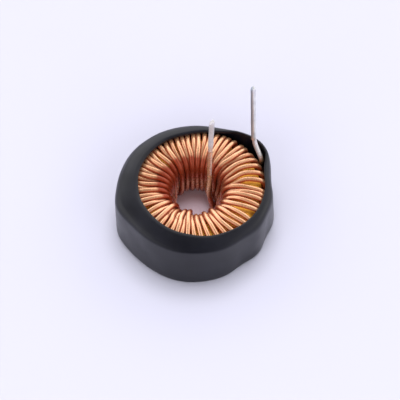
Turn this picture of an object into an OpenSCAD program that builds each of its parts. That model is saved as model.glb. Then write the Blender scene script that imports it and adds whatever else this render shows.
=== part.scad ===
// Toroidal power inductor: an iron-powder ring core, closely wound with one
// length of enamelled copper wire, with a heat-shrink sleeve round its rim.
// Millimetres. +Z is the ring's axis, the origin is the centre of the ring on
// the surface that it rests on, and the two leads stand up.

/* [Core] */
// Outside diameter of the coated ring
core_od = 17.5; // [17.3:0.1:17.6]
// Bore diameter of the coated ring
core_id = 9.4; // [9.2:0.1:9.5]
// Height of the coated ring
core_h = 4.8; // [4.5:0.1:4.9]
// Radius of the ring's rounded edges
core_edge_r = 1.0; // [0.9:0.1:1.2]

/* [Winding] */
// Diameter of the wire over its enamel
wire_d = 0.7; // [0.66:0.01:0.7]
// Number of passes of the wire through the hole
passes = 59; // [55:2:59]
// Direction of the first pass through the hole, in degrees from +X
start_angle = 46; // [43:1:47]
// Radius of the wire's centre in the hole, on the passes of the back layer
hole_r_back = 4.33; // [4.31:0.01:4.34]
// Radius of the wire's centre in the hole, on the passes of the front layer
hole_r_front = 3.7; // [3.66:0.01:3.7]
// Radius of the wire's centre where the last pass turns up to become a lead
hole_r_lead = 2.15; // [2.1:0.01:2.3]
// Radius of the wire's centre on the outside of the ring
outside_r = 9.2; // [9.14:0.01:9.2]
// How far the ring stands back, in +Y, from the sleeve's middle
ring_y = 0.35; // [0.3:0.01:0.36]
// Half height of a turn of the back layer, to the wire's centre
half_h_back = 3.1; // [3.08:0.01:3.12]
// Half height of a turn of the front layer, to the wire's centre
half_h_front = 3.42; // [3.41:0.01:3.44]
// Radius at which the turns are tallest
crown_r = 6.3; // [6.2:0.05:6.4]

/* [Leads] */
// Height of the outer lead's tip
outer_tip_z = 20.5; // [16:0.1:22]
// Height of the inner lead's tip
inner_tip_z = 19.5; // [17:0.1:22]
// Diameter of the wire where its enamel is stripped
bare_d = 0.62; // [0.58:0.01:0.62]
// Outside diameter of the solder coat
coat_d = 0.7; // [0.67:0.01:0.71]
// Height at which the outer lead's solder coat begins
outer_coat_z = 9.4; // [9:0.2:10]
// Height at which the inner lead's solder coat begins
inner_coat_z = 13.6; // [12:0.2:15]
// How far the outer lead leans from upright, towards -X, in degrees
outer_lean = 1.2; // [0:0.2:2]
// How far the inner lead leans from upright, towards +X, in degrees
inner_lean = 1.8; // [0:0.2:2]
// Angle from level of the two faces that the cutter leaves at each lead's tip
tip_cut = 56; // [40:2:58]
// How far the inner lead's tip lies off the wire's middle
inner_tip_x = 0.16; // [0:0.02:0.16]

/* [Sleeve] */
// Outside radius of the sleeve's wall
sleeve_r = 10.46; // [10.4:0.02:10.6]
// Wall thickness of the shrunk sleeve
sleeve_t = 0.5; // [0.4:0.05:0.5]
// Height of the top lip, midway between its high and low sides
sleeve_h = 7.75; // [7.7:0.01:7.85]
// Height of the rounded shoulder under the top lip
shoulder_h = 2.1; // [2:0.1:2.4]
// How much lower the shoulder is in front, where it is a tight corner
front_corner = 1; // [0.8:0.1:1.1]
// Radius of the opening that the top lip leaves
lip_r = 8.34; // [8.3:0.02:8.4]
// Radius of the opening that the bottom lip leaves
foot_r = 8.75; // [8.7:0.05:8.9]
// Radius of the rounded bottom edge
foot_edge_r = 0.8; // [0.7:0.1:1.1]
// How far the sleeve is pushed out beside the outer lead
tent = 0.85; // [0.75:0.02:0.95]

/* [Hidden] */
$fn = 64;

zm = 3.85;                     // height of the ring's mid plane
pitch = 360 / passes;          // angle from one pass to the next
last = passes - 1;
wr = wire_d / 2;
br = bare_d / 2 - 0.002;       // stripped wire, a hair inside its solder coat
inner_n = 4.2;                 // squareness of a turn towards the hole
outer_n = 3.4;                 // squareness of a turn towards the rim

// ---------- core ----------

// One half section of the ring: two crossed slabs and four rounded edges.
module core_section() {
    w = (core_od - core_id) / 2;
    e = core_edge_r;
    translate([core_id / 2, zm - core_h / 2]) {
        translate([e, 0]) square([w - 2 * e, core_h]);
        translate([0, e]) square([w, core_h - 2 * e]);
        for (x = [e, w - e], z = [e, core_h - e]) translate([x, z]) circle(r = e);
    }
}

module core() {
    color([0.86, 0.70, 0.16]) translate([0, ring_y, 0]) rotate_extrude() core_section();
}

// ---------- winding ----------

function pw(v, p) = sign(v) * pow(abs(v), p);
function hole_r(k) = k == last ? hole_r_lead : k % 2 == 1 ? hole_r_front : hole_r_back;
function half_h(k) = abs(k) % 2 == 1 ? half_h_front : half_h_back;

// Share of one pitch that a turn has advanced at phase f: it stays upright in
// the hole and on the outside, and leans across the top and the bottom.
function advance(f) = f / 360 - 0.0796 * sin(2 * f);

// Radius and height at phase f of turn k. Phase 0 is in the hole, 90 on top,
// 180 on the outside and 270 underneath.
function turn_r(k, f) = f <= 90
    ? crown_r - (crown_r - hole_r(k)) * pow(abs(cos(f)), 2 / inner_n)
    : crown_r + (outside_r - crown_r) * pow(abs(cos(f)), 2 / outer_n);
function turn_z(k, f) = f <= 90
    ? zm + half_h(k) * pw(sin(f), 2 / inner_n)
    : zm + (half_h(k) + (half_h(k + 1) - half_h(k)) * (f - 90) / 180) * pw(sin(f), 2 / outer_n);
function polar(r, a, z) = [r * cos(a), r * sin(a), z];
function turn_point(k, f) = [0, ring_y, 0]
    + polar(turn_r(k, f), start_angle + pitch * (k + advance(f)), turn_z(k, f));

// The outer lead stands against the outside of the winding.
outer_a = start_angle - pitch / 2;
outer_foot = [7.64, 6.3, outer_coat_z];
function on_outer(z) = outer_foot + (z - outer_foot[2]) * [-tan(outer_lean), 0, 1];
// The inner lead stands in the hole, next to the last pass.
inner_foot = [1.66, 1.58, 6];
function on_inner(z) = inner_foot + (z - inner_foot[2]) * [tan(inner_lean), 0, 1];

// Phases at which a turn gets a ring of the tube.
phases = [-90, -66, -45, -24, 0, 24, 45, 66, 90, 114, 135, 156, 180, 204, 225, 246];

// Each entry is a point of the wire's centre and the wire's radius there.
lead_in = [
    for (z = [outer_tip_z - 1, outer_coat_z - 0.01]) [on_outer(z), br],
    for (z = [outer_coat_z - 0.1, 8.4]) [on_outer(z), wr],
    for (z = [7.2, 6.0]) [polar(9.95, outer_a, z), wr],
    [polar(9.75, outer_a, 4.6), wr],
    for (f = [198, 225, 246]) [turn_point(-1, f), wr]
];
turns = [for (k = [0 : last - 1], f = phases) [turn_point(k, f), wr]];
lead_out = [
    for (f = [-90, -66, -45, -24, 0]) [turn_point(last, f), wr],
    for (z = [6.4, 9.6, inner_coat_z - 0.1]) [on_inner(z), wr],
    for (z = [inner_coat_z - 0.01, inner_tip_z - 1]) [on_inner(z), br]
];
path = concat(lead_in, turns, lead_out);
count = len(path);

function unit(v) = v / norm(v);
function heading(i) = unit(path[min(i + 1, count - 1)][0] - path[max(i - 1, 0)][0]);
// The ring's frame hangs on the direction round the core, so it never twists.
function side(i) = let (p = path[i][0], t = heading(i), e = unit([ring_y - p[1], p[0], 0]))
    unit(e - t * (e * t));

sides = 6;
module winding() {
    rings = [for (i = [0 : count - 1]) let (n = side(i), b = cross(heading(i), n))
        for (j = [0 : sides - 1]) let (a = 360 * j / sides)
            path[i][0] + path[i][1] * (cos(a) * n + sin(a) * b)];
    skin = [for (i = [0 : count - 2], j = [0 : sides - 1])
        let (a = i * sides + j, b = i * sides + (j + 1) % sides)
            each [[a, b + sides, b], [a, a + sides, b + sides]]];
    first_cap = [for (j = [1 : sides - 2]) [0, j, j + 1]];
    z = (count - 1) * sides;
    last_cap = [for (j = [1 : sides - 2]) [z, z + j + 1, z + j]];
    color([0.80, 0.42, 0.22]) polyhedron(points = rings, faces = concat(skin, first_cap, last_cap));
}

// ---------- solder coats ----------

// A close tube of solder round a stripped wire end, of the length given. It
// closes over the end, and its tip is the wedge that a side cutter leaves, with
// its edge this far off the middle.
module solder_coat(length, edge_x) {
    difference() {
        cylinder(d = coat_d, h = length);
        translate([0, 0, -1]) cylinder(d = bare_d, h = length);
        for (s = [-1, 1])
            translate([edge_x, 0, length]) rotate([0, s * tip_cut, 0]) translate([-3, -2, 0]) cube([6, 4, 4]);
    }
}

module solder_outer_lead() {
    color([0.78, 0.78, 0.80]) translate(outer_foot) rotate([0, -outer_lean, 0])
        solder_coat((outer_tip_z - outer_coat_z) / cos(outer_lean), 0);
}

module solder_inner_lead() {
    color([0.78, 0.78, 0.80]) translate(on_inner(inner_coat_z)) rotate([0, inner_lean, 0])
        solder_coat((inner_tip_z - inner_coat_z) / cos(inner_lean), inner_tip_x);
}

// ---------- sleeve ----------

// A smooth bump of height 1 at angle a0 that fades over width w, in degrees.
function near(a, a0, w) = let (d = (a - a0 + 540) % 360 - 180) exp(-pow(d / w, 2));

// Outside radius of the wall. The tube keeps a soft crease at the lower right,
// with a flatter stretch on each side of it, and stands off beside the lead.
function wall_r(a, z) = let (u = min(1, z / 7)) sleeve_r
    + tent * near(a, 37, 18) * (0.25 + 0.75 * u)
    - 0.42 * near(a, 8, 14) * u
    - 0.56 * near(a, -21, 12) * (1 - 0.5 * u)
    - 0.54 * near(a, -52, 13) * (1 - 0.4 * u)
    + 0.28 * near(a, -100, 20) * (1 - 0.4 * u)
    - 0.08 * near(a, 226, 14)
    + 0.46 * near(a, 195, 13) * (0.7 + 0.3 * u);
// How far the lip stands open instead of curling over the turns.
function open(a) = min(1, 1.35 * near(a, 44, 26));
function top_r(a) = let (r0 = lip_r + 0.68 * cos(a) + 0.16 * sin(a))
    r0 + (wall_r(a, sleeve_h) - sleeve_t - 0.06 - r0) * open(a);
function top_z(a) = sleeve_h - 0.38 * cos(a) - 0.10 * sin(a) + 0.62 * near(a, 44, 20) + 0.22 * near(a, 95, 40);
// How steeply the lip falls outwards from its edge, and how high its shoulder is.
function fall(a) = 0.1 + 0.1 * near(a, 285, 75);
function corner_h(a) = shoulder_h - front_corner * near(a, 275, 75);
// A point of the shoulder at phase f, from a wall of radius w, h above its foot.
function on_shoulder(a, zs, tr, w, h, f) = let (out = (w - tr) * pow(cos(f), 0.65))
    [tr + out, zs + (h - fall(a) * out) * pow(sin(f), 0.65)];

// The section of the sleeve at angle a, as [radius, height]: up the outside
// from the foot to the lip, round the lip's edge, and back down the inside.
function section(a) = let (
        tr = top_r(a), tz = top_z(a), wt = wall_r(a, 7), wb = wall_r(a, 1),
        ch = corner_h(a), zs = tz - ch, e = foot_edge_r)
    [
        [foot_r, 0], [wb - e, 0],
        for (f = [-72, -54, -36, -18, 0]) [wb - e + e * cos(f), e + e * sin(f)],
        for (u = [0.35, 0.7]) [wb + (wt - wb) * u, e + (zs - e) * u],
        for (f = [0 : 15 : 75]) on_shoulder(a, zs, tr, wt, ch, f),
        [tr + 0.12, tz], [tr, tz - sleeve_t / 2], [tr + 0.12, tz - sleeve_t],
        for (f = [75 : -15 : 0]) on_shoulder(a, zs, tr, wt - sleeve_t, ch - sleeve_t, f),
        for (u = [0.7, 0.35]) [wb + (wt - wb) * u - sleeve_t, e + (zs - e) * u],
        for (f = [0, -30, -60]) [wb - e + (e - sleeve_t) * cos(f), e + (e - sleeve_t) * sin(f)],
        [wb - e, sleeve_t], [foot_r, sleeve_t]
    ];

slices = 90;
module sleeve() {
    m = len(section(0));
    points = [for (i = [0 : slices - 1]) let (a = 360 * i / slices)
        for (p = section(a)) polar(p[0], a, p[1])];
    skin = [for (i = [0 : slices - 1], j = [0 : m - 1])
        let (a = i * m + j, b = i * m + (j + 1) % m,
             c = ((i + 1) % slices) * m + j, d = ((i + 1) % slices) * m + (j + 1) % m)
            each [[a, b, d], [a, d, c]]];
    color([0.13, 0.13, 0.14]) polyhedron(points = points, faces = skin);
}

core();
winding();
solder_outer_lead();
solder_inner_lead();
sleeve();
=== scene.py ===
import math

import bpy
import numpy as np
from mathutils.kdtree import KDTree
from mathutils import Matrix, Vector


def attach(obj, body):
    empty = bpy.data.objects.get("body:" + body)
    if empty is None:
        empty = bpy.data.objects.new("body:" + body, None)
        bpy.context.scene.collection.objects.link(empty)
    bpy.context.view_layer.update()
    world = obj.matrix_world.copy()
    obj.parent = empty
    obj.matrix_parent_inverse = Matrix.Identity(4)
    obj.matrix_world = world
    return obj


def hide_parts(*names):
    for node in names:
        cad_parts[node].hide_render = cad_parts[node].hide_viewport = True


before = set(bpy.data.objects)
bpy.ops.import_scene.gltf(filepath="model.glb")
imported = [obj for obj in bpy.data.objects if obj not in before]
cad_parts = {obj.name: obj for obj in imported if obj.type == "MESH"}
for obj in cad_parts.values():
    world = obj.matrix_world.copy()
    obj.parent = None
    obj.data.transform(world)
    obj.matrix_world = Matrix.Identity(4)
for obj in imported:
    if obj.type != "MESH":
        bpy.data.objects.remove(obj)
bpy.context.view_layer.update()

# Everything below is worked out in millimetres and stored in metres.
MM = 0.001
rng = np.random.RandomState(71)

# ------------------------------------------------------------------ helpers


def smooth(x, a, b):
    t = np.clip((np.asarray(x, float) - a) / (b - a), 0, 1)
    return t * t * (3 - 2 * t)


def polar(r, a, z):
    a = np.radians(a)
    return np.stack([r * np.cos(a), r * np.sin(a), np.broadcast_to(z, np.shape(r))], -1)


def near(a, a0, w):
    d = (a - a0 + 540.0) % 360.0 - 180.0
    return np.exp(-((d / w) ** 2))


def spline(points, per=12):
    """Catmull-Rom through the points, centripetal, as dense points."""
    p = np.asarray(points, float)
    p = np.vstack([2 * p[0] - p[1], p, 2 * p[-1] - p[-2]])
    out = []
    for i in range(1, len(p) - 2):
        p0, p1, p2, p3 = p[i - 1 : i + 3]
        t0 = 0.0
        t1 = t0 + np.linalg.norm(p1 - p0) ** 0.5
        t2 = t1 + np.linalg.norm(p2 - p1) ** 0.5
        t3 = t2 + np.linalg.norm(p3 - p2) ** 0.5
        for t in np.linspace(t1, t2, per, endpoint=False):
            a1 = (t1 - t) / (t1 - t0) * p0 + (t - t0) / (t1 - t0) * p1
            a2 = (t2 - t) / (t2 - t1) * p1 + (t - t1) / (t2 - t1) * p2
            a3 = (t3 - t) / (t3 - t2) * p2 + (t - t2) / (t3 - t2) * p3
            b1 = (t2 - t) / (t2 - t0) * a1 + (t - t0) / (t2 - t0) * a2
            b2 = (t3 - t) / (t3 - t1) * a2 + (t - t1) / (t3 - t1) * a3
            out.append((t2 - t) / (t2 - t1) * b1 + (t - t1) / (t2 - t1) * b2)
    out.append(p[-2])
    return np.array(out)


def resample(path, step, extra=()):
    """Points at equal steps of arc length, with the extra columns carried along."""
    d = np.r_[0, np.cumsum(np.linalg.norm(np.diff(path, axis=0), axis=1))]
    n = max(2, int(round(d[-1] / step)) + 1)
    s = np.linspace(0, d[-1], n)
    out = np.stack([np.interp(s, d, path[:, i]) for i in range(3)], -1)
    return out, s, [np.interp(s, d, e) for e in extra]


def new_mesh(name, verts, faces, smooth_shade=True):
    me = bpy.data.meshes.new(name)
    me.from_pydata((np.asarray(verts) * MM).tolist(), [], [list(map(int, f)) for f in faces])
    me.validate()
    me.update()
    if smooth_shade:
        me.polygons.foreach_set("use_smooth", [True] * len(me.polygons))
    ob = bpy.data.objects.new(name, me)
    bpy.context.scene.collection.objects.link(ob)
    return ob


def point_attribute(ob, name, values):
    at = ob.data.attributes.new(name, "FLOAT", "POINT")
    at.data.foreach_set("value", np.asarray(values, np.float32))


def corner_uv(ob, uv_of_loop):
    layer = ob.data.uv_layers.new(name="OFBake")
    layer.data.foreach_set("uv", np.asarray(uv_of_loop, np.float32).ravel())


def frames(path, hint):
    """Unit tangent, side and normal at each point; the side is the hint made square to the path."""
    t = np.gradient(path, axis=0)
    t /= np.linalg.norm(t, axis=1)[:, None]
    s = hint - (hint * t).sum(1)[:, None] * t
    s /= np.linalg.norm(s, axis=1)[:, None]
    return t, s, np.cross(t, s)


def tube(path, radius, hint, sides, ends=(True, True)):
    """Rings round the path, with no caps at its ends; the ends argument is not used."""
    t, s, b = frames(path, hint)
    ang = np.arange(sides) * 2 * math.pi / sides
    ring = np.cos(ang)[None, :, None] * s[:, None, :] + np.sin(ang)[None, :, None] * b[:, None, :]
    v = path[:, None, :] + radius[:, None, None] * ring
    n = len(path)
    verts = v.reshape(-1, 3)
    i = np.arange(n - 1)[:, None] * sides
    j = np.arange(sides)[None, :]
    k = (np.arange(sides) + 1)[None, :] % sides
    faces = np.stack([i + j, i + k, i + sides + k, i + sides + j], -1).reshape(-1, 4)
    return verts, faces, n


# ------------------------------------------------------------------ winding

ZM = 3.85  # height of the ring's mid plane
WR = 0.322  # the wire's radius over its enamel
CY = 0.35  # the ring stands this far back from the sleeve's middle
R_OUT = 9.2  # wire's centre on the outside of the ring

# The strands on top, going round from the leads: each one's direction from the
# ring's axis near the rim, at mid width and near the hole.
STRANDS = [
    (47.5, 49, 49), (55, 56, 56), (60.5, 61, 60), (65.5, 67, 66), (71, 72, 71.5), (76.5, 77, 77), (82, 81, 81),
    (88, 87, 87.5), (92.5, 92.5, 92.5), (98, 98.5, 96.5), (103.5, 103.5, 103.5), (108.5, 109, 109.5),
    (114.5, 116, 117.5), (120, 122.5, 123.5), (127, 126, 124.5), (133.5, 133.5, 133), (138, 141, 143.5),
    (143.5, 146, 148), (148.5, 149.5, 151), (154.5, 156, 157.5), (160, 159.5, 162.5), (166, 167, 168),
    (170.5, 169.5, 172.5), (177, 178.5, 180), (182, 183.5, 185), (187, 186, 188.5), (194, 193.5, 196),
    (199.5, 199, 203), (206, 205.5, 208), (215.5, 213.5, 215.5), (221, 220.5, 222), (228, 227, 228.5),
    (234.5, 232.5, 232), (240.5, 240, 239), (247, 245.5, 244), (252, 251, 250), (257, 256, 254),
    (262.5, 260, 256.5), (268.5, 266, 264.5), (274.5, 272.5, 270.5), (281, 279, 278), (288.5, 287, 284.5),
    (295.5, 293.5, 291), (302, 299, 298), (309.5, 306, 303), (315.5, 314, 312.5), (322, 322.3, 319.5),
    (333, 331.8, 327.5), (338.5, 340.5, 337.5), (345.5, 347.5, 347), (350.5, 352.5, 352), (354.5, 358.5, 357.5),
    (366, 369.5, 364), (374.5, 378.5, 372), (383, 386.5, 382.5), (390, 393.5, 391), (396.5, 400.5, 400.5),
    (402.5, 403, 404)]
TURNS = len(STRANDS)  # 58 strands cross the top
table = np.array(STRANDS, float)
near_rim, midway = table[:, 0].copy(), table[:, 1].copy()
# 0 lies against the core in the hole, 1 lies in front of the others
LAYER = np.arange(TURNS) % 2.0
# how much further out than the others a strand begins to drop into the hole
EARLY = np.zeros(TURNS)
for k, v in ((30, 0.15), (31, 0.15), (32, 0.35), (33, 0.60), (34, 0.45), (35, 0.45), (36, -0.05), (37, -0.20),
             (38, 0.15), (39, 0.40), (40, 0.10), (41, 0.20), (43, -0.10), (45, -0.10)):
    EARLY[k] = v
# how closely a strand follows the ring's rounded inner edge
HUG = 1 - smooth(np.abs((table[:, 1] - 90 + 180) % 360 - 180), 75, 140)
# a strand's bright ridge lies a little uphill of its middle
cosines = np.cos(np.radians(table[:, 1]))
goal_rim, goal_mid = table[:, 0] - 0.4 * cosines, table[:, 1] - 2.3 * cosines
near_hole = table[:, 2] + cosines * (0.7 + 3.2 * (1 - LAYER))


def settle(r, a, r_max):
    """Where the passes cross a level of the hole: they push apart until none share a place."""
    x0, y0 = r * np.cos(np.radians(a)), r * np.sin(np.radians(a))
    x, y = x0.copy(), y0.copy()
    for _ in range(500):
        dx, dy = x[:, None] - x[None], y[:, None] - y[None]
        d = np.hypot(dx, dy) + np.eye(len(x)) * 9
        push = np.clip(0.655 - d, 0, None) * 0.3
        x += (push * dx / d).sum(1) + 0.01 * (x0 - x)
        y += (push * dy / d).sum(1) + 0.01 * (y0 - y)
        q = np.hypot(x, y)
        f = np.minimum(1, r_max / q)
        x, y = x * f, y * f
    ang = np.degrees(np.arctan2(y, x)) % 360
    ang += np.round((a - ang) / 360) * 360
    return np.hypot(x, y), ang


jit = lambda s: rng.uniform(-s, s, TURNS + 1)
SLANT = 3  # one pass slants across its neighbours
hole_r0 = 4.36 - 0.46 * LAYER + jit(0.03)[:TURNS]
crown_z = 7.02 + 0.16 * LAYER + jit(0.04)[:TURNS]
outer_r = R_OUT + jit(0.03)[:TURNS]
bow = jit(0.05)
wob = jit(0.05)
low_jit = jit(1.5)[:TURNS]
nxt = np.r_[LAYER[1:], 1.0]
under_z = 0.82 - 0.32 * nxt  # as high as the pass that the strand leads to
under_z[:3] = 1.06
under_z[53:] = 1.06


def ring_pt(r, a, z):
    a = math.radians(a)
    return np.array([r * math.cos(a), CY + r * math.sin(a), z])


def across(p, q, r, z, sway):
    """A point on the straight line p-q in plan where the radius is r, moved sideways by sway."""
    best = None
    for u in np.linspace(-0.15, 1.15, 131):
        c = p + (q - p) * u
        d = abs(math.hypot(c[0], c[1] - CY) - r)
        if best is None or d < best[0]:
            best = (d, c)
    c = best[1].copy()
    n = np.array([-(q - p)[1], (q - p)[0]])
    n /= np.linalg.norm(n)
    return np.array([c[0] + n[0] * sway, c[1] + n[1] * sway, z])


def bspline(ctrl, per=8):
    """Uniform cubic B-spline: the wire cuts each corner of the control line in a smooth bend."""
    c = np.vstack([[ctrl[0]] * 2, ctrl, [ctrl[-1]] * 2])
    out = []
    for i in range(len(c) - 3):
        a, b, d, e4 = c[i : i + 4]
        for u in np.linspace(0, 1, per, endpoint=False):
            out.append(((1 - u) ** 3 * a + (3 * u**3 - 6 * u**2 + 4) * b
                        + (-3 * u**3 + 3 * u**2 + 3 * u + 1) * d + u**3 * e4) / 6)
    out.append(c[-1])
    return np.array(out)


def over_top(k):
    """Control points of strand k from the hole, across the top and down the outside."""
    zt, early = crown_z[k], EARLY[k]
    far = float(smooth(out_a[k] % 360, 20, 60) * (1 - smooth(out_a[k] % 360, 150, 200)))
    turn = near_hole[k] - hole_a[k]
    bend = 1.045 * (5.7 - top_r[k]) + 0.10 * (1 - LAYER[k])
    round_edge = lambda f: np.array([5.7 - bend * math.sin(math.radians(f)), 5.25 + bend * math.cos(math.radians(f))])
    inner = []
    for f, u, plain in ((72, 0.08, (top_r[k] + 0.05 + 0.25 * early, 5.75 - 0.3 * abs(early))),
                        (44, 0.35, (top_r[k] + 0.2 + 0.10 * LAYER[k] + 0.6 * early, zt - 0.66 - 0.25 * abs(early))),
                        (16, 1.0, (5.35 - 0.20 * LAYER[k] + early, zt - 0.25 - 0.08 * abs(early)))):
        r, z = round_edge(f) * HUG[k] + np.array(plain) * (1 - HUG[k])
        inner.append(ring_pt(r, hole_a[k] + u * turn, z))
    return [ring_pt(top_r[k], hole_a[k], 4.8), *inner,
            ring_pt(6.42, midway[k], zt + 0.06),
            ring_pt(7.52, (near_rim[k] + midway[k]) / 2 + 6 * bow[k], 7.06 + 0.35 * (zt - 6.99)),
            ring_pt(8.86, near_rim[k] + 4 * wob[k], 6.92 + 0.10 * far + (0.28 if k == 14 else 0)),
            ring_pt(outer_r[k] + 0.05, out_a[k], 6.25 + 0.10 * far),
            ring_pt(outer_r[k], out_a[k], 4.8)]


def seen_at(k, radii):
    """The directions in which the middle of strand k is seen from the camera, at
    these radii on the top of the ring."""
    path = bspline(np.array(over_top(k)), 8)
    level = 0.809 * path[:, 1] + 0.588 * path[:, 2]
    r = np.hypot(path[:, 0], path[:, 1] - CY)
    for _ in range(12):
        v = (level - 0.588 * np.interp(r, [3.5, 4.2, 5, 7, 8.3, 9.2], [6.4, 6.9, 7.35, 7.3, 7.2, 6.9])) / 0.809 - CY
        r = 0.5 * r + 0.5 * np.hypot(path[:, 0], v)
    a = np.degrees(np.unwrap(np.arctan2(v, path[:, 0])))
    a += np.round((table[k, 1] - a.mean()) / 360) * 360
    keep = np.r_[True, np.diff(np.maximum.accumulate(r)) > 1e-4]
    return np.interp(radii, r[keep], a[keep])


for _ in range(6):
    out_a = near_rim + 0.3 * (near_rim - midway)
    top_r, hole_a = settle(hole_r0, near_hole + 0.15 * (near_hole - midway), 4.355)
    for k in range(TURNS):
        seen = seen_at(k, [8.2, 6.5])
        near_rim[k] += 0.8 * np.clip(goal_rim[k] - seen[0], -2, 2)
        midway[k] += 0.7 * np.clip(goal_mid[k] - seen[1], -2, 2)
# at the left and the right the slack passes lean in towards the bottom
low_r = top_r.copy()
for k in range(TURNS):
    w = float(near(hole_a[k], 185, 42))
    low_r[k] -= LAYER[k] * w * (1.05 if k % 4 == 1 else 0.5)
    low_r[k] -= float(near(hole_a[k], 15, 38)) * (0.15 + 0.75 * LAYER[k])
low_a = hole_a + low_jit
low_r[SLANT], low_a[SLANT] = 2.5, 30.0
low_r, low_a = settle(low_r, low_a, 4.355)

ctrl, turn_no = [], []


def put(turn, *points):
    for p in points:
        ctrl.append(np.asarray(p, float))
        turn_no.append(float(turn))


# The outer lead: down its straight tinned part, round the hook beside the
# sleeve, down the outside of the winding and underneath to the first pass.
lead_x = lambda z: 7.64 - (z - 9.4) * math.tan(math.radians(1.2))
put(-1, *[(lead_x(z), 6.3, z) for z in (20.0, 18, 16, 14, 12, 10.6, 9.8)])
put(-1, (7.74, 6.32, 9.0), (7.86, 6.12, 8.4), (8.22, 5.62, 7.72), (8.52, 5.20, 7.1), (8.74, 4.90, 6.5))
put(-1, *[polar(10.12, a, z) for a, z in ((31.5, 5.4), (35.0, 4.4), (39.0, 3.3), (42.5, 2.3))])
put(-1, polar(10.0, 44.5, 1.35), polar(9.0, 45.5, 0.88), polar(7.5, 46.5, 0.62), polar(6.0, 47.5, 0.55))
for k in range(TURNS):
    L = LAYER[k]
    # up through the hole
    lift = 0.28 * (1 - L)
    if k == SLANT:
        put(k - 0.25, ring_pt(low_r[k] + 1.1, low_a[k], 0.42), ring_pt(low_r[k] + 0.1, low_a[k], 0.52),
            ring_pt(2.6, 45.0, 1.6), ring_pt(3.0, 58.0, 2.7), ring_pt(3.55, 69.5, 4.0))
    else:
        put(k - 0.25, ring_pt(low_r[k] + 1.2, low_a[k], 0.45 + lift), ring_pt(low_r[k] + 0.22, low_a[k], 0.60 + lift),
            ring_pt(low_r[k], low_a[k], 2.3),
            ring_pt((low_r[k] + top_r[k]) / 2, (low_a[k] + hole_a[k]) / 2 + 10 * bow[k], 3.85))
    # over the inner shoulder, across the top and over the outer one
    top = over_top(k)
    put(k - 0.25, top[0])
    put(k, *top[1:-1])
    # down the outside and back underneath
    put(k + 0.5, ring_pt(outer_r[k], out_a[k], 4.8), ring_pt(outer_r[k], out_a[k], 3.3), ring_pt(outer_r[k], out_a[k], 2.1),
        ring_pt(outer_r[k] - 0.05, out_a[k], 1.05))
    last = k == TURNS - 1
    q = ring_pt(3.6, 372, 0)[:2] if last else ring_pt(low_r[k + 1], low_a[k + 1], 0)[:2]
    p = ring_pt(outer_r[k], out_a[k], 0)[:2]
    uz = 0.40 if last else under_z[k]
    put(k + 0.5, across(p, q, 8.5, 0.62, 0.0), across(p, q, 7.4, uz, wob[k]), across(p, q, 6.2, uz, wob[k]))

# The inner lead: out from underneath, sharply up through the hole, and on to its tip.
inner_x = lambda z: 1.66 + (z - 6) * math.tan(math.radians(1.8))
put(TURNS, polar(5.4, 22.0, 0.40), polar(4.0, 14.5, 0.37), (3.1, 1.04, 0.36), (2.32, 1.10, 0.42), (2.20, 1.20, 1.0),
    (2.02, 1.32, 1.9), (1.80, 1.46, 2.8), (1.58, 1.58, 4.0), (1.68, 1.60, 5.2), (1.80, 1.58, 7.0),
    *[(inner_x(z), 1.58, z) for z in (9, 11, 13, 15, 16.5, 17.5, 18.9)])
dense = bspline(np.array(ctrl), 10)
u = (np.arange(len(dense)) / 10.0 - 1.0).clip(0, len(ctrl) - 1)
turn_at = np.interp(u, np.arange(len(ctrl)), turn_no)
centre, arc, (turn_at,) = resample(dense, 0.40, (turn_at,))


def off_core(points):
    """Push points out until the wire round them clears the ring core."""
    flat = points - [0, CY, 0]
    r = np.hypot(flat[:, 0], flat[:, 1])
    q = np.stack([np.abs(r - 6.55) - 1.2, np.abs(points[:, 2] - ZM) - 1.4], -1)
    out = np.maximum(q, 0)
    depth = np.linalg.norm(out, axis=1) + np.minimum(q.max(1), 0)
    n2 = np.where(depth[:, None] > 0, out / np.maximum(np.linalg.norm(out, axis=1), 1e-6)[:, None], np.eye(2)[q.argmax(1)])
    move = np.clip(1.0 + WR - depth, 0, 0.3)
    points = points.copy()
    points[:, :2] += (move * n2[:, 0] * np.sign(r - 6.55) / np.maximum(r, 1e-6))[:, None] * flat[:, :2]
    points[:, 2] += move * n2[:, 1] * np.sign(points[:, 2] - ZM)
    return points


# Where two passes would run through each other, they ease apart and one rides
# over the other. The leads and the ends that carry solder stay put.
start = centre.copy()
free = smooth(-centre[:, 2], -7.5, -7.1)
for _ in range(24):
    tree = KDTree(len(centre))
    for i, c in enumerate(centre):
        tree.insert(c, i)
    tree.balance()
    push = np.zeros_like(centre)
    for i, c in enumerate(centre):
        for _near, j, d in tree.find_range(c, 2 * WR):
            if j > i and arc[j] - arc[i] > 1.6:
                way = (c - centre[j]) * [1, 1, 1.6] + [0, 0, 0.03 * (1 if turn_at[i] % 2 < 1 else -1)]
                way *= 0.25 * (2 * WR - d) / np.linalg.norm(way)
                push[i] += way
                push[j] -= way
    for _pass in range(2):
        push = 0.25 * np.roll(push, 1, 0) + 0.5 * push + 0.25 * np.roll(push, -1, 0)
    size = np.linalg.norm(push, axis=1)
    push *= (np.minimum(size, 0.06) / np.maximum(size, 1e-6))[:, None]
    moved = off_core(centre + free[:, None] * push)
    moved = np.where(free[:, None] > 0.5, moved, centre + free[:, None] * push)
    moved[:, 2] = np.maximum(moved[:, 2], WR + 0.03)
    step = moved - start
    size = np.linalg.norm(step, axis=1)
    centre = start + step * (np.minimum(size, 0.45) / np.maximum(size, 1e-6))[:, None]
    reach = np.hypot(centre[:, 0], centre[:, 1] - CY)
    limit = np.maximum(np.hypot(start[:, 0], start[:, 1] - CY), 9.0)
    centre[:, :2] = np.where((reach > limit)[:, None], [0, CY] + (centre[:, :2] - [0, CY]) * (limit / reach)[:, None], centre[:, :2])
hint = np.stack([-(centre[:, 1] - CY), centre[:, 0], np.zeros(len(centre))], -1)
hint /= np.linalg.norm(hint, axis=1)[:, None]

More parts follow.
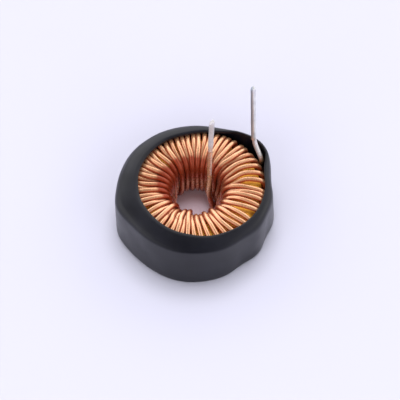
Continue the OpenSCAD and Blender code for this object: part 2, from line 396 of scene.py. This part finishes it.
IN_COAT, OUT_COAT = 13.6, 9.4
is_in = turn_at <= -0.9
is_out = turn_at >= TURNS - 0.01
bare = np.where(is_in, smooth(centre[:, 2], OUT_COAT - 0.15, OUT_COAT + 0.1), 0) \
     + np.where(is_out, smooth(centre[:, 2], IN_COAT - 0.15, IN_COAT + 0.1), 0)
radius = WR - (WR - 0.308) * bare
radius = radius + 0.002 * np.sin(arc * 0.9) * (1 - bare)
SIDES = 16
verts, faces, n = tube(centre, radius, hint, SIDES)
first = np.arange(SIDES)
caps = [list(first[::-1]), list((n - 1) * SIDES + first)]
winding = new_mesh("enamelled_winding", verts, list(faces) + caps)

tint = np.repeat(np.interp(np.floor(turn_at * 1.0), np.arange(-1, TURNS + 1), rng.uniform(0, 1, TURNS + 2)), SIDES)
point_attribute(winding, "tint", tint)
point_attribute(winding, "arc", np.repeat(arc, SIDES))
round_it = (verts.reshape(n, SIDES, 3) - centre[:, None]) / radius[:, None, None]
tinned = np.where(is_in, smooth(centre[:, 2], 6.2, 7.4), 0) \
       + np.where(is_out, 0.30 * smooth(centre[:, 2], 4.6, 7.5) + 0.20 * smooth(centre[:, 2], 9.5, 12.5)
                  + 0.50 * smooth(centre[:, 2], 12.7, IN_COAT), 0)
# painted highlight: the tin colour runs further down the lit right side of the inner lead, and the tinned attribute
# carries it with the real tin
right_side_highlight = (is_out * 0.85 * smooth(centre[:, 2], 6.0, 9.0))[:, None] * smooth(round_it[:, :, 0], -0.25, 0.45)
point_attribute(winding, "tinned", np.maximum(tinned[:, None], right_side_highlight).ravel())
azimuth = np.degrees(np.arctan2(centre[:, 1] - CY, centre[:, 0]))
# painted shade: the wire's colour darkens where it goes down into the hole, from an edge that changes round the ring;
# weaker low down and on the right-hand wall, and it also darkens the inner lead's foot in the hole
brink = 4.4 + 0.68 * near(azimuth, 110, 50) + 0.90 * near(azimuth, 175, 35) + 0.30 * near(azimuth, 20, 40)
hole_shade = (1 - smooth(np.hypot(centre[:, 0], centre[:, 1] - CY) - brink, -0.3, 0.3)) * (0.65 + 0.35 * smooth(centre[:, 2], 3.4, 4.8))
hole_shade *= 1 - 0.30 * near(azimuth, 352, 42)
hole_shade = np.where(is_out, 0.9 * (1 - smooth(centre[:, 2], 2.8, 5.4)), hole_shade)
point_attribute(winding, "inside", np.repeat(hole_shade, SIDES))
# how far round from its exposed ridge each point of a turn lies, as 0 to 1
flat = centre - [0, CY, 0]
core_line = flat * [1, 1, 0] / np.hypot(flat[:, 0], flat[:, 1])[:, None] * 6.8 + [0, CY, ZM]
outward = centre - core_line
outward /= np.linalg.norm(outward, axis=1)[:, None]
ridge = (round_it * outward[:, None]).sum(-1)
# painted shade on each turn's flanks, where it lies against the next turn
crease = (1 - smooth(ridge, 0.40, 0.98)) * (1 - np.maximum(is_in, is_out))[:, None]
point_attribute(winding, "crease", crease.ravel())
# painted shade along the left side of the outer lead's wire
flux = smooth(-round_it[:, :, 0], -0.15, 0.65) * (is_in * smooth(centre[:, 2], 5.6, 7.0))[:, None]
point_attribute(winding, "flux", flux.ravel())

# bake map: the wire cut into strips that stand side by side in rows
STRIPS_PER_ROW, ROWS = 24, 3
strip_len = (n - 1) / (STRIPS_PER_ROW * ROWS)
uv = []
for q in range((n - 1) * SIDES):
    i, j = divmod(q, SIDES)
    s = min(int(i / strip_len), STRIPS_PER_ROW * ROWS - 1)
    row, col = divmod(s, STRIPS_PER_ROW)
    u0, u1 = (j + 0.0) / SIDES, (j + 1.0) / SIDES
    v0, v1 = (i - s * strip_len) / strip_len, (i + 1 - s * strip_len) / strip_len
    fu = lambda u: (col + 0.04 + 0.92 * u) / STRIPS_PER_ROW
    fv = lambda v: (row + 0.01 + 0.97 * min(1.0, max(0.0, v))) / ROWS
    uv += [(fu(u0), fv(v0)), (fu(u1), fv(v0)), (fu(u1), fv(v1)), (fu(u0), fv(v1))]
for c in range(2):
    uv += [(0.9985, 0.9985)] * SIDES
corner_uv(winding, uv)

# ------------------------------------------------------------------ sleeve

SL_R, SL_T, SL_H, SH_H, LIP_R, FOOT_R, FOOT_E, TENT = 10.46, 0.5, 7.75, 2.1, 8.34, 8.75, 0.8, 0.85


def wall_r(a, z):
    u = np.clip(z / 7.0, 0, 1)
    return (SL_R + TENT * near(a, 37, 18) * (0.25 + 0.75 * u)
            - 0.42 * near(a, 8, 14) * u
            - 0.56 * near(a, -21, 12) * (1 - 0.5 * u)
            - 0.54 * near(a, -52, 13) * (1 - 0.4 * u)
            + 0.28 * near(a, -100, 20) * (1 - 0.4 * u)
            - 0.08 * near(a, 226, 14)
            + 0.46 * near(a, 195, 13) * (0.7 + 0.3 * u))


def opened(a):
    return np.minimum(1, 1.35 * near(a, 44, 26))


def lip_radius(a):
    r0 = LIP_R + 0.68 * np.cos(np.radians(a)) + 0.16 * np.sin(np.radians(a))
    return r0 + (wall_r(a, SL_H) - SL_T - 0.06 - r0) * opened(a)


def top_z(a):
    return SL_H - 0.38 * np.cos(np.radians(a)) - 0.10 * np.sin(np.radians(a)) + 0.62 * near(a, 44, 20) \
        + 0.22 * near(a, 95, 40)


def tilt(a):
    """How steeply the lip falls outwards from its edge."""
    return 0.10 + 0.10 * near(a, 285, 75)


def shoulder_h(a):
    """Height of the rounded shoulder: a tight corner in front, a slack one at the back."""
    return SH_H - 1.0 * near(a, 275, 75)


def section(a):
    tr, tz, wt, wb = lip_radius(a), top_z(a), wall_r(a, 7), wall_r(a, 1)
    fall, sh = tilt(a), shoulder_h(a)
    zs, e = tz - sh, FOOT_E
    c, s = lambda f: math.cos(math.radians(f)), lambda f: math.sin(math.radians(f))
    pts = [(FOOT_R + 0.06, 0.0)]
    pts += [(FOOT_R + (wb - e - FOOT_R) * u, 0.0) for u in (0.35, 0.7, 1.0)]
    pts += [(wb - e + e * c(f), e + e * s(f)) for f in np.linspace(-80, 0, 8)]
    pts += [(wb + (wt - wb) * u, e + (zs - e) * u) for u in np.linspace(0.1, 0.92, 9)]
    shoulder = lambda w, h, f: (tr + (w - tr) * c(f) ** 0.65,
                                zs + (h - fall * (w - tr) * c(f) ** 0.65) * s(f) ** 0.65)
    pts += [shoulder(wt, sh, f) for f in np.linspace(0, 84, 19)]
    # the cut edge of the lip: a short face with worn corners
    m = tz - SL_T / 2
    pts += [(tr + 0.10, tz + 0.0), (tr + 0.03, tz - 0.05), (tr, tz - 0.13), (tr, m), (tr, m - 0.12),
            (tr + 0.03, tz - SL_T + 0.05), (tr + 0.10, tz - SL_T)]
    pts += [shoulder(wt - SL_T, sh - SL_T, f) for f in np.linspace(82, 0, 14)]
    pts += [(wb + (wt - wb) * u - SL_T, e + (zs - e) * u) for u in np.linspace(0.9, 0.1, 5)]
    pts += [(wb - e + (e - SL_T) * c(f), e + (e - SL_T) * s(f)) for f in np.linspace(0, -80, 5)]
    pts += [(wb - e, SL_T), (FOOT_R + 0.06, SL_T), (FOOT_R, SL_T - 0.06), (FOOT_R, 0.06)]
    return np.array(pts)


SLICES = 360
sec0 = section(0.0)
M = len(sec0)
sv = np.zeros((SLICES, M, 3))
for i in range(SLICES):
    a = 360.0 * i / SLICES
    p = section(a)
    r, z = p[:, 0].copy(), p[:, 1].copy()
    # the shrunk wall is not quite even: long soft swells, and a slow wander of the cut lip
    up = smooth(z, 0.5, 2.0)
    r += up * 0.035 * (math.sin(math.radians(3 * a + 40)) + 0.6 * math.sin(math.radians(7 * a + 200 + 12 * 1.0))) * 0.6
    r += up * 0.012 * np.sin(np.radians(13 * a) + z * 0.9)
    lip = smooth(z, 6.4, 7.6) * (r < 9.9)
    r += lip * 0.03 * math.sin(math.radians(9 * a + 70))
    z += lip * 0.025 * math.sin(math.radians(5 * a + 10))
    sv[i] = polar(r, np.full(M, a), z)
sverts = sv.reshape(-1, 3)
sfaces, suv = [], []
prof = np.r_[0, np.cumsum(np.linalg.norm(np.diff(np.vstack([sec0, sec0[:1]]), axis=0), axis=1))]
prof /= prof[-1]
for i in range(SLICES):
    for j in range(M):
        a, b = i * M + j, i * M + (j + 1) % M
        c, d = ((i + 1) % SLICES) * M + j, ((i + 1) % SLICES) * M + (j + 1) % M
        sfaces.append((a, c, d, b))
        u0, u1 = i / SLICES, (i + 1) / SLICES
        v0, v1 = prof[j], prof[j + 1]
        suv += [(u0, v0), (u1, v0), (u1, v1), (u0, v1)]
sleeve = new_mesh("heat_shrink_sleeve", sverts, sfaces)
corner_uv(sleeve, suv)

# ------------------------------------------------------------------ tinned ends


def tinned_end(name, foot, tip, apex, dull, seed):
    """A close coat of solder round the bare wire: thin where it begins, a little
    uneven along its length, and closed over the slanted cut at the tip."""
    foot, tip = np.array(foot, float), np.array(tip, float)
    axis = tip - foot
    length = np.linalg.norm(axis)
    axis /= length
    x = np.cross([0, 1, 0], axis)
    x /= np.linalg.norm(x)
    y = np.cross(axis, x)
    r = np.random.RandomState(seed)
    ph = r.uniform(0, 6.28, 6)
    sides = 24
    ang = np.arange(sides) * 2 * math.pi / sides
    s = np.r_[0, 0.06, 0.16, 0.32, np.linspace(0.55, length - 0.9, 30), np.linspace(length - 0.8, length, 12)]
    rings = []
    slope = math.tan(math.radians(56))
    for q in s:
        grow = 0.312 + 0.036 * float(smooth(q, -0.02, 0.5))
        lump = (0.006 * math.sin(q * 1.7 + ph[0]) + 0.004 * math.sin(q * 3.9 + ph[1])
                + 0.006 * np.sin(ang + q * 0.8 + ph[2]) + 0.004 * np.sin(2 * ang - q * 1.3 + ph[3]))
        rad = grow + (lump if 0.3 < q else 0)
        close = 1.0 - 0.12 * float(smooth(q, length - 0.6, length))
        px, py = rad * close * np.cos(ang), rad * close * np.sin(ang)
        # the tip is the wedge that a side cutter leaves
        cut = length - slope * np.hypot(px - apex, 0.05)
        h = np.minimum(q, cut)
        rings.append(foot + px[:, None] * x + py[:, None] * y + h[:, None] * axis)
    v = np.vstack(rings)
    n = len(s)
    f = []
    for i in range(n - 1):
        for j in range(sides):
            k = (j + 1) % sides
            f.append((i * sides + j, i * sides + k, (i + 1) * sides + k, (i + 1) * sides + j))
    # the tip's face, drawn in to a point in its middle
    top = v[(n - 1) * sides : n * sides]
    mid = top.mean(0)
    v = np.vstack([v, mid + (top - mid) * 0.55 + axis * 0.004, mid[None] + axis * 0.008])
    a0, b0, c0 = (n - 1) * sides, n * sides, (n + 1) * sides
    for j in range(sides):
        k = (j + 1) % sides
        f.append((a0 + j, a0 + k, b0 + k, b0 + j))
        f.append((b0 + j, b0 + k, c0))
    # the bore that the bare wire fills
    base = len(v)
    bore = []
    for q in (0.0, (length - 1.0) * 0.5, length - 1.0):
        bore.append(foot + 0.3095 * (np.cos(ang)[:, None] * x + np.sin(ang)[:, None] * y) + q * axis)
    v = np.vstack([v] + bore + [(foot + (length - 1.0) * axis)[None]])
    for i in range(2):
        for j in range(sides):
            k = (j + 1) % sides
            f.append((base + i * sides + k, base + i * sides + j, base + (i + 1) * sides + j, base + (i + 1) * sides + k))
    end = base + 3 * sides
    for j in range(sides):
        k = (j + 1) % sides
        f.append((base + 2 * sides + k, base + 2 * sides + j, end))
        f.append((k, j, base + j, base + k))
    ob = new_mesh(name, v, f)
    along = ((v - foot) @ axis)
    point_attribute(ob, "along", along / length)
    point_attribute(ob, "dull", np.full(len(v), dull))
    # painted shade along the left side
    off = (v - foot) - along[:, None] * axis
    point_attribute(ob, "flux", smooth(-(off @ x) / np.maximum(np.linalg.norm(off, axis=1), 0.01), -0.15, 0.65))
    point_attribute(ob, "rim", 1 - smooth(along, 0.0, 0.9))
    return ob


coat_outer = tinned_end("tinned_outer_lead", (7.64, 6.3, 9.4), (lead_x(20.5), 6.3, 20.5), 0.04, 0.6, 5)
coat_inner = tinned_end("tinned_inner_lead", (inner_x(13.6), 1.58, 13.6), (inner_x(19.5), 1.58, 19.5), 0.16, 1.0, 9)

# ------------------------------------------------------------------ materials


class Tree:
    def __init__(self, name):
        self.m = bpy.data.materials.new(name)
        self.m.use_nodes = True
        self.t = self.m.node_tree
        self.bsdf = self.t.nodes["Principled BSDF"]

    def node(self, kind, **props):
        n = self.t.nodes.new(kind)
        for key, value in props.items():
            if key.startswith("_"):
                setattr(n, key[1:], value)
        return n

    def link(self, a, b):
        self.t.links.new(a, b)

    def coords(self, scale=(1, 1, 1)):
        c = self.node("ShaderNodeTexCoord")
        m = self.node("ShaderNodeMapping")
        m.inputs["Scale"].default_value = scale
        self.link(c.outputs["Object"], m.inputs["Vector"])
        return m.outputs["Vector"]

    def noise(self, scale, detail=3, rough=0.5, vector=None, distortion=0.0):
        n = self.node("ShaderNodeTexNoise")
        n.inputs["Scale"].default_value = scale
        n.inputs["Detail"].default_value = detail
        n.inputs["Roughness"].default_value = rough
        n.inputs["Distortion"].default_value = distortion
        self.link(vector if vector is not None else self.coords(), n.inputs["Vector"])
        return n.outputs["Fac"]

    def ramp(self, fac, stops):
        n = self.node("ShaderNodeValToRGB")
        el = n.color_ramp.elements
        while len(el) < len(stops):
            el.new(0.5)
        for x, (pos, col) in zip(el, stops):
            x.position = pos
            x.color = (*col, 1) if len(col) == 3 else col
        self.link(fac, n.inputs["Fac"])
        return n.outputs["Color"]

    def rng(self, fac, lo, hi, a=0.0, b=1.0):
        n = self.node("ShaderNodeMapRange")
        n.inputs["From Min"].default_value = a
        n.inputs["From Max"].default_value = b
        n.inputs["To Min"].default_value = lo
        n.inputs["To Max"].default_value = hi
        self.link(fac, n.inputs["Value"])
        return n.outputs["Result"]

    def attr(self, name):
        n = self.node("ShaderNodeAttribute")
        n.attribute_name = name
        return n.outputs["Fac"]

    def mix(self, fac, a, b, blend="MIX"):
        n = self.node("ShaderNodeMix")
        n.data_type = "RGBA"
        n.blend_type = blend
        for sock, val in ((n.inputs["Factor"], fac), (n.inputs[6], a), (n.inputs[7], b)):
            if isinstance(val, (int, float)):
                sock.default_value = val
            elif isinstance(val, tuple):
                sock.default_value = (*val, 1)
            else:
                self.link(val, sock)
        return n.outputs[2]

    def math(self, op, a, b=0.0):
        n = self.node("ShaderNodeMath")
        n.operation = op
        for sock, val in ((n.inputs[0], a), (n.inputs[1], b)):
            if isinstance(val, (int, float)):
                sock.default_value = val
            else:
                self.link(val, sock)
        return n.outputs[0]

    def bump(self, height, strength, distance, normal=None):
        n = self.node("ShaderNodeBump")
        n.inputs["Strength"].default_value = strength
        n.inputs["Distance"].default_value = distance
        self.link(height, n.inputs["Height"])
        if normal is not None:
            self.link(normal, n.inputs["Normal"])
        return n.outputs["Normal"]


def srgb(r, g, b):
    f = lambda c: c / 12.92 if c <= 0.04045 else ((c + 0.055) / 1.055) ** 2.4
    return tuple(f(v / 255) for v in (r, g, b))


# enamelled copper wire
t = Tree("enamelled_copper")
b = t.bsdf
per_turn = t.attr("tint")
base = t.ramp(per_turn, [(0.0, (0.90, 0.440, 0.215)), (0.5, (0.95, 0.500, 0.255)), (1.0, (0.98, 0.550, 0.295))])
patch = t.noise(900, 3, 0.6)
base = t.mix(t.rng(patch, 0.0, 0.35, 0.42, 0.75), base, (0.80, 0.34, 0.15))
fine = t.noise(5200, 2, 0.5)
base = t.mix(t.rng(fine, 0.0, 0.10, 0.5, 0.8), base, (0.92, 0.56, 0.36))
# painted shade: the enamel colour is darker and redder in the hole
base = t.mix(t.attr("inside"), base, (0.30, 0.052, 0.022))
# painted shade: darker and redder in the creases, where each turn lies against the next
base = t.mix(t.rng(t.attr("crease"), 0.0, 0.92), base, (0.40, 0.05, 0.015))
# tin colour, with the painted highlight down the inner lead's right side
tin_and_highlight = t.attr("tinned")
edge = t.math("ADD", tin_and_highlight, t.rng(t.noise(2600, 3, 0.6), -0.35, 0.35, 0.3, 0.7))
edge = t.rng(edge, 0.0, 1.0, 0.25, 0.75)
base = t.mix(edge, base, t.mix(tin_and_highlight, (0.78, 0.36, 0.22), (0.70, 0.65, 0.64)))
# painted shade on the left side of the outer lead
base = t.mix(t.rng(t.attr("flux"), 0.0, 0.85), base, (0.27, 0.23, 0.25))
t.link(base, b.inputs["Base Color"])
# less metallic on the painted crease and hole shade, and where the tin is
dulled = t.math("MAXIMUM", t.math("MAXIMUM", t.attr("crease"), t.math("MULTIPLY", t.attr("inside"), 0.5)),
                t.math("MULTIPLY", tin_and_highlight, 0.9))
t.link(t.rng(dulled, 0.82, 0.5), b.inputs["Metallic"])
rough = t.rng(t.noise(1500, 3, 0.6), 0.23, 0.34, 0.3, 0.7)
t.link(rough, b.inputs["Roughness"])
# less clear coat on the painted crease and hole shade
t.link(t.rng(t.math("MAXIMUM", t.attr("crease"), t.attr("inside")), 1.0, 0.15), b.inputs["Coat Weight"])
b.inputs["Coat Roughness"].default_value = 0.13
b.inputs["Coat IOR"].default_value = 1.6
t.link(t.bump(t.noise(2000, 2, 0.5), 0.05, 0.00002), b.inputs["Normal"])
winding.data.materials.append(t.m)

# solder on the lead ends
t = Tree("solder")
b = t.bsdf
lump = t.noise(1100, 4, 0.55)
cloud = t.noise(700, 4, 0.6)
grey = t.ramp(cloud, [(0.3, (0.60, 0.60, 0.61)), (0.5, (0.76, 0.76, 0.76)), (0.75, (0.86, 0.86, 0.85))])
# painted shade on the left side of each solder coat
grey = t.mix(t.rng(t.attr("flux"), 0.0, 0.9), grey, (0.26, 0.30, 0.355))
pale = t.ramp(cloud, [(0.3, (0.53, 0.51, 0.51)), (0.5, (0.69, 0.66, 0.66)), (0.75, (0.81, 0.78, 0.78))])
base = t.mix(t.rng(t.attr("dull"), 0.0, 1.0, 0.6, 1.0), grey, pale)
base = t.mix(t.rng(t.attr("rim"), 0.0, 0.75), base, (0.74, 0.52, 0.40))
t.link(base, b.inputs["Base Color"])
t.link(t.rng(t.attr("dull"), 0.82, 0.6), b.inputs["Metallic"])
t.link(t.math("ADD", t.rng(lump, 0.22, 0.36, 0.3, 0.7), t.rng(t.attr("dull"), 0.0, 0.14)), b.inputs["Roughness"])
t.link(t.bump(lump, 0.45, 0.00004), b.inputs["Normal"])
for ob in (coat_outer, coat_inner):
    ob.data.materials.append(t.m)

# shrunk polyolefin
t = Tree("heat_shrink")
b = t.bsdf
cloud = t.noise(260, 4, 0.55)
base = t.ramp(cloud, [(0.3, (0.002, 0.002, 0.004)), (0.7, (0.005, 0.005, 0.009))])
t.link(base, b.inputs["Base Color"])
t.link(t.rng(t.noise(420, 3, 0.6), 0.28, 0.38, 0.3, 0.7), b.inputs["Roughness"])
b.inputs["Specular IOR Level"].default_value = 0.41
micro = t.bump(t.noise(9000, 2, 0.6), 0.10, 0.00001)
drawn = t.noise(600, 3, 0.5, t.coords((1, 1, 0.22)))
t.link(t.bump(drawn, 0.12, 0.00006, micro), b.inputs["Normal"])
sleeve.data.materials.append(t.m)

# the ring's paint
t = Tree("core_paint")
b = t.bsdf
base = t.ramp(t.noise(500, 4, 0.6), [(0.3, (0.86, 0.38, 0.04)), (0.6, (1.0, 0.50, 0.06)), (0.8, (1.0, 0.62, 0.10))])
t.link(base, b.inputs["Base Color"])
t.link(t.rng(t.noise(900, 3, 0.6), 0.38, 0.6, 0.3, 0.7), b.inputs["Roughness"])
t.link(t.bump(t.noise(2500, 4, 0.6), 0.35, 0.00005), b.inputs["Normal"])
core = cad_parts["core"]
core.data.materials.clear()
core.data.materials.append(t.m)

for ob, slot, node in ((winding, "enamelled_copper", "winding"), (coat_outer, "solder", "solder_outer_lead"),
                       (coat_inner, "solder", "solder_inner_lead"), (sleeve, "heat_shrink", "sleeve")):
    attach(ob, "root")
    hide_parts(node)

# ------------------------------------------------------------------ stage, light, camera

me = bpy.data.meshes.new("floor")
R = 3.0
n_side = 96
ring = [(R * math.cos(2 * math.pi * i / n_side), R * math.sin(2 * math.pi * i / n_side), 0.0) for i in range(n_side)]
me.from_pydata(ring, [], [list(range(n_side))])
floor = bpy.data.objects.new("floor", me)
bpy.context.scene.collection.objects.link(floor)
t = Tree("paper")
t.bsdf.inputs["Base Color"].default_value = (0.477, 0.467, 0.547, 1)
t.bsdf.inputs["Roughness"].default_value = 0.85
t.bsdf.inputs["Specular IOR Level"].default_value = 0.1
floor.data.materials.append(t.m)

world = bpy.data.worlds.new("studio")
bpy.context.scene.world = world
world.use_nodes = True
wt = world.node_tree
bg = wt.nodes["Background"]
co = wt.nodes.new("ShaderNodeTexCoord")
# Plain pale surroundings as a sum of broad soft lobes, each with its azimuth
# (0 is +X, 90 is behind the object), elevation and strength.
LOBES = [(0, 18, 1.0), (45, 18, 0.95), (90, 27, 1.5), (135, 18, 0.9), (180, 18, 1.25), (225, 18, 0.45), (270, 18, 0.08),
         (315, 18, 0.3), (30, 46, 0.55), (90, 54, 0.02), (150, 46, 0.35), (210, 54, 0.28), (270, 54, 0.04), (330, 54, 0.25)]
total = None
for az, elev, strength in LOBES:
    if strength == 0:
        continue
    dot = wt.nodes.new("ShaderNodeVectorMath")
    dot.operation = "DOT_PRODUCT"
    ce = math.cos(math.radians(elev))
    dot.inputs[1].default_value = (ce * math.cos(math.radians(az)), ce * math.sin(math.radians(az)), math.sin(math.radians(elev)))
    wt.links.new(co.outputs["Generated"], dot.inputs[0])
    lobe = wt.nodes.new("ShaderNodeMapRange")
    lobe.interpolation_type = "SMOOTHSTEP"
    lobe.inputs["From Min"].default_value = math.cos(math.radians(40))
    lobe.inputs["From Max"].default_value = math.cos(math.radians(5))
    lobe.inputs["To Min"].default_value = 0.0
    lobe.inputs["To Max"].default_value = strength
    wt.links.new(dot.outputs["Value"], lobe.inputs["Value"])
    if total is None:
        total = lobe.outputs["Result"]
    else:
        add = wt.nodes.new("ShaderNodeMath")
        add.operation = "ADD"
        wt.links.new(total, add.inputs[0])
        wt.links.new(lobe.outputs["Result"], add.inputs[1])
        total = add.outputs["Value"]
wt.links.new(total, bg.inputs["Strength"])
bg.inputs["Color"].default_value = (0.98, 0.98, 1.0, 1)


def soft_light(name, az, elev, spread, strength):
    """Broad daylight from one side. It lights surfaces and is not mirrored in them."""
    d = bpy.data.lights.new(name, "SUN")
    d.angle, d.energy, d.color = math.radians(spread), strength, (0.945, 0.962, 1.0)
    a, e = math.radians(az), math.radians(elev)
    way = Vector((math.cos(a) * math.cos(e), math.sin(a) * math.cos(e), math.sin(e)))
    ob = bpy.data.objects.new(name, d)
    ob.location = way * 0.5
    ob.rotation_mode = "QUATERNION"
    ob.rotation_quaternion = (-way).to_track_quat("-Z", "Y")
    ob.visible_camera = False
    ob.visible_glossy = False
    bpy.context.scene.collection.objects.link(ob)


# From overhead, a little behind the object, and lower from both sides of the front.
soft_light("overhead", 90, 76, 34, 2.5)
soft_light("left_fill", 240, 30, 50, 1.5)
soft_light("right_fill", 300, 30, 50, 1.5)

# The copper's warm glow on the floor of the hole.
d = bpy.data.lights.new("glow", "AREA")
d.shape, d.size, d.energy = "DISK", 0.005, 0.00005
d.color = (1.0, 0.28, 0.16)
glow = bpy.data.objects.new("glow", d)
glow.location = (0.0, 0.0004, 0.003)
glow.visible_camera = False
glow.visible_glossy = False
bpy.context.scene.collection.objects.link(glow)

# The camera stands in front and looks down 54 degrees.
ELEV, DIST, PX_PER_MM = 54.0, 400.0, 7.54
target = Vector((0.53, 0.0, 4.28)) * MM
el = math.radians(ELEV)
fwd = Vector((0, math.cos(el), -math.sin(el)))
cam_data = bpy.data.cameras.new("camera")
cam_data.sensor_width = 36.0
cam_data.lens = 36.0 * DIST / (400.0 / PX_PER_MM)
cam_data.clip_start, cam_data.clip_end = 0.01, 20.0
cam = bpy.data.objects.new("camera", cam_data)
cam.location = target - fwd * DIST * MM
cam.rotation_mode = "QUATERNION"
cam.rotation_quaternion = fwd.to_track_quat("-Z", "Y")
bpy.context.scene.collection.objects.link(cam)
bpy.context.scene.camera = cam

bpy.context.scene.view_settings.view_transform = "Standard"
bpy.context.scene.view_settings.look = "None"
